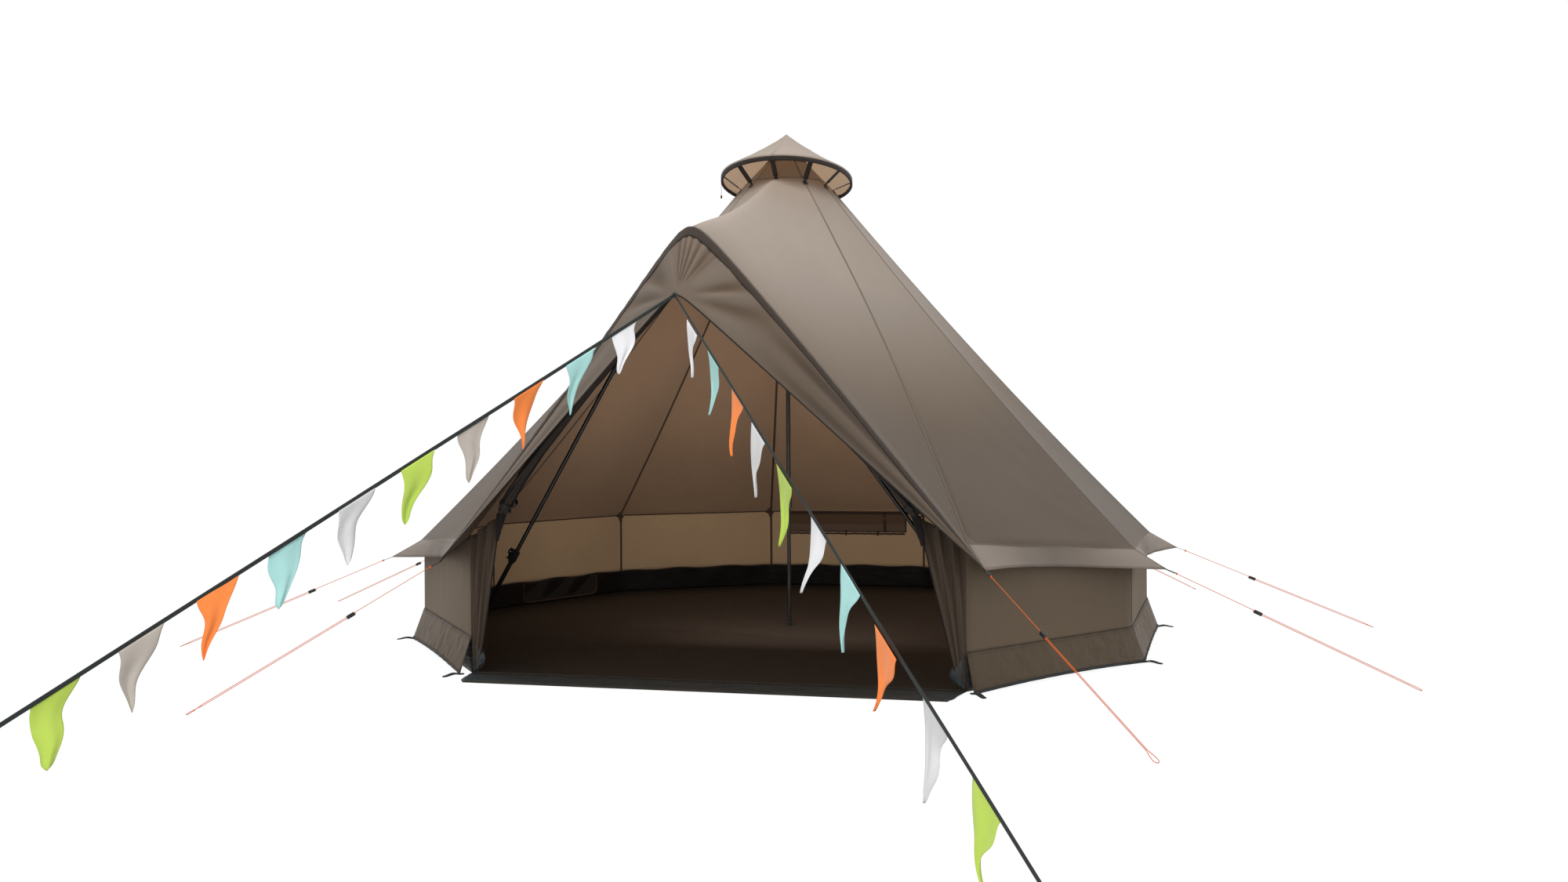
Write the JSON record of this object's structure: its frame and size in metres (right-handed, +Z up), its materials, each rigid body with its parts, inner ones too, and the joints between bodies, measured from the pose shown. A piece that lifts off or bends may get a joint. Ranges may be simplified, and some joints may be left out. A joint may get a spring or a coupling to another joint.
{
  "type": "bell tent",
  "caption": "Pole-supported cone tent with low walls, a hooded doorway on an A-frame, a raised vent cap, adjustable guy lines and flag bunting.",
  "frame": {"origin": "on the ground at the foot of the centre pole, under the groundsheet", "axes": "+Z up, the doorway faces -Y, +X to the right as one looks along +Y into the doorway"},
  "size_m": [6.6191, 7.8057, 2.8989],
  "materials": {
    "canopy": "taupe tent cloth with a soft sheen",
    "wall": "taupe tent cloth, shaded below the eave",
    "skirt": "darker coated cloth with a slight gloss",
    "sleeve": "dark brown binding over the frame",
    "groundsheet": "black woven plastic sheet",
    "door": "taupe tent cloth rolled and tied",
    "net": "black fine mesh",
    "webbing": "black webbing",
    "steel": "black coated steel tube",
    "plastic": "black moulded plastic",
    "guy_cord": "orange braided cord",
    "tape": "slate grey webbing tape with cloth flags"
  },
  "bodies": {
    "tent": {"bunting_line_left": "tape", "bunting_line_right": "tape", "cap_cover": "canopy", "cap_hoop": "steel", "cap_pull_cord": "plastic", "door_left": "door", "door_net_left": "net", "door_net_right": "net", "door_right": "door", "door_tie_left": "webbing", "door_tie_right": "webbing", "groundsheet": "groundsheet", "guy_line_1": "guy_cord", "guy_line_10": "guy_cord", "guy_line_2": "guy_cord", "guy_line_3": "guy_cord", "guy_line_4": "guy_cord", "guy_line_5": "guy_cord", "guy_line_6": "guy_cord", "guy_line_7": "guy_cord", "guy_line_8": "guy_cord", "guy_line_9": "guy_cord", "hood_face": "canopy", "hood_left": "canopy", "hood_right": "canopy", "hood_sleeve": "sleeve", "leg_elbow": "steel", "leg_upper_left": "steel", "leg_upper_right": "steel", "mud_skirt": "skirt", "pole_clamp": "plastic", "pole_upper": "steel", "roof_back": "canopy", "roof_left": "canopy", "roof_right": "canopy", "roof_vent": "net", "tie_knot": "tape", "wall_back": "wall", "wall_left": "wall", "wall_right": "wall", "window_net": "net"},
    "lower_pole": {"pole_lower": "steel"},
    "pole_cam": {"pole_lever": "plastic"},
    "left_leg": {"leg_lower_left": "steel", "leg_left_clamp": "plastic"},
    "left_leg_cam": {"leg_left_lever": "plastic"},
    "right_leg": {"leg_lower_right": "steel", "leg_right_clamp": "plastic"},
    "right_leg_cam": {"leg_right_lever": "plastic"},
    "runner_1": {"guy_runner_1": "plastic"},
    "runner_2": {"guy_runner_2": "plastic"},
    "runner_3": {"guy_runner_3": "plastic"},
    "runner_4": {"guy_runner_4": "plastic"},
    "runner_5": {"guy_runner_5": "plastic"},
    "runner_6": {"guy_runner_6": "plastic"},
    "runner_7": {"guy_runner_7": "plastic"},
    "runner_8": {"guy_runner_8": "plastic"},
    "runner_9": {"guy_runner_9": "plastic"},
    "runner_10": {"guy_runner_10": "plastic"},
    "pocket": {"pocket_flap": "skirt"}
  },
  "joints": [
    {"name": "pole_telescope", "type": "slide", "parent": "tent", "child": "lower_pole", "axis": [0, 0, 1], "range_m": [0, 0.55]},
    {"name": "pole_cam_hinge", "type": "hinge", "parent": "tent", "child": "pole_cam", "pos_m": [-0.0255, 0, 0.742], "axis": [0, 1, 0], "range_deg": [0, 100]},
    {"name": "left_leg_telescope", "type": "slide", "parent": "tent", "child": "left_leg", "axis": [0.5544, -0.2102, 0.8053], "range_m": [0, 0.25]},
    {"name": "left_leg_cam_hinge", "type": "hinge", "parent": "left_leg", "child": "left_leg_cam", "pos_m": [-1.04696, -1.53097, 0.56362], "axis": [0, 0.9676, 0.2526], "range_deg": [0, 100]},
    {"name": "right_leg_telescope", "type": "slide", "parent": "tent", "child": "right_leg", "axis": [-0.5544, -0.2102, 0.8053], "range_m": [0, 0.25]},
    {"name": "right_leg_cam_hinge", "type": "hinge", "parent": "right_leg", "child": "right_leg_cam", "pos_m": [1.04696, -1.53097, 0.56362], "axis": [0, -0.9676, -0.2526], "range_deg": [0, 100]},
    {"name": "runner_slide_1", "type": "slide", "parent": "tent", "child": "runner_1", "axis": [-0.505, 0.7459, 0.4343], "range_m": [0, 0.35]},
    {"name": "runner_slide_2", "type": "slide", "parent": "tent", "child": "runner_2", "axis": [-0.8475, 0.3681, 0.3824], "range_m": [0, 0.35]},
    {"name": "runner_slide_3", "type": "slide", "parent": "tent", "child": "runner_3", "axis": [-0.9128, -0.1437, 0.3824], "range_m": [0, 0.35]},
    {"name": "runner_slide_4", "type": "slide", "parent": "tent", "child": "runner_4", "axis": [-0.6935, -0.6107, 0.3824], "range_m": [0, 0.35]},
    {"name": "runner_slide_5", "type": "slide", "parent": "tent", "child": "runner_5", "axis": [-0.258, -0.8873, 0.3824], "range_m": [0, 0.35]},
    {"name": "runner_slide_6", "type": "slide", "parent": "tent", "child": "runner_6", "axis": [0.258, -0.8873, 0.3824], "range_m": [0, 0.35]},
    {"name": "runner_slide_7", "type": "slide", "parent": "tent", "child": "runner_7", "axis": [0.6935, -0.6107, 0.3824], "range_m": [0, 0.35]},
    {"name": "runner_slide_8", "type": "slide", "parent": "tent", "child": "runner_8", "axis": [0.9128, -0.1437, 0.3824], "range_m": [0, 0.35]},
    {"name": "runner_slide_9", "type": "slide", "parent": "tent", "child": "runner_9", "axis": [0.8475, 0.3681, 0.3824], "range_m": [0, 0.35]},
    {"name": "runner_slide_10", "type": "slide", "parent": "tent", "child": "runner_10", "axis": [0.505, 0.7459, 0.4343], "range_m": [0, 0.35]},
    {"name": "pocket_flap_hinge", "type": "hinge", "parent": "tent", "child": "pocket", "pos_m": [-1.79724, 0.84402, 0.15], "axis": [-0.4251, -0.9052, 0], "range_deg": [0, 100]}
  ]
}
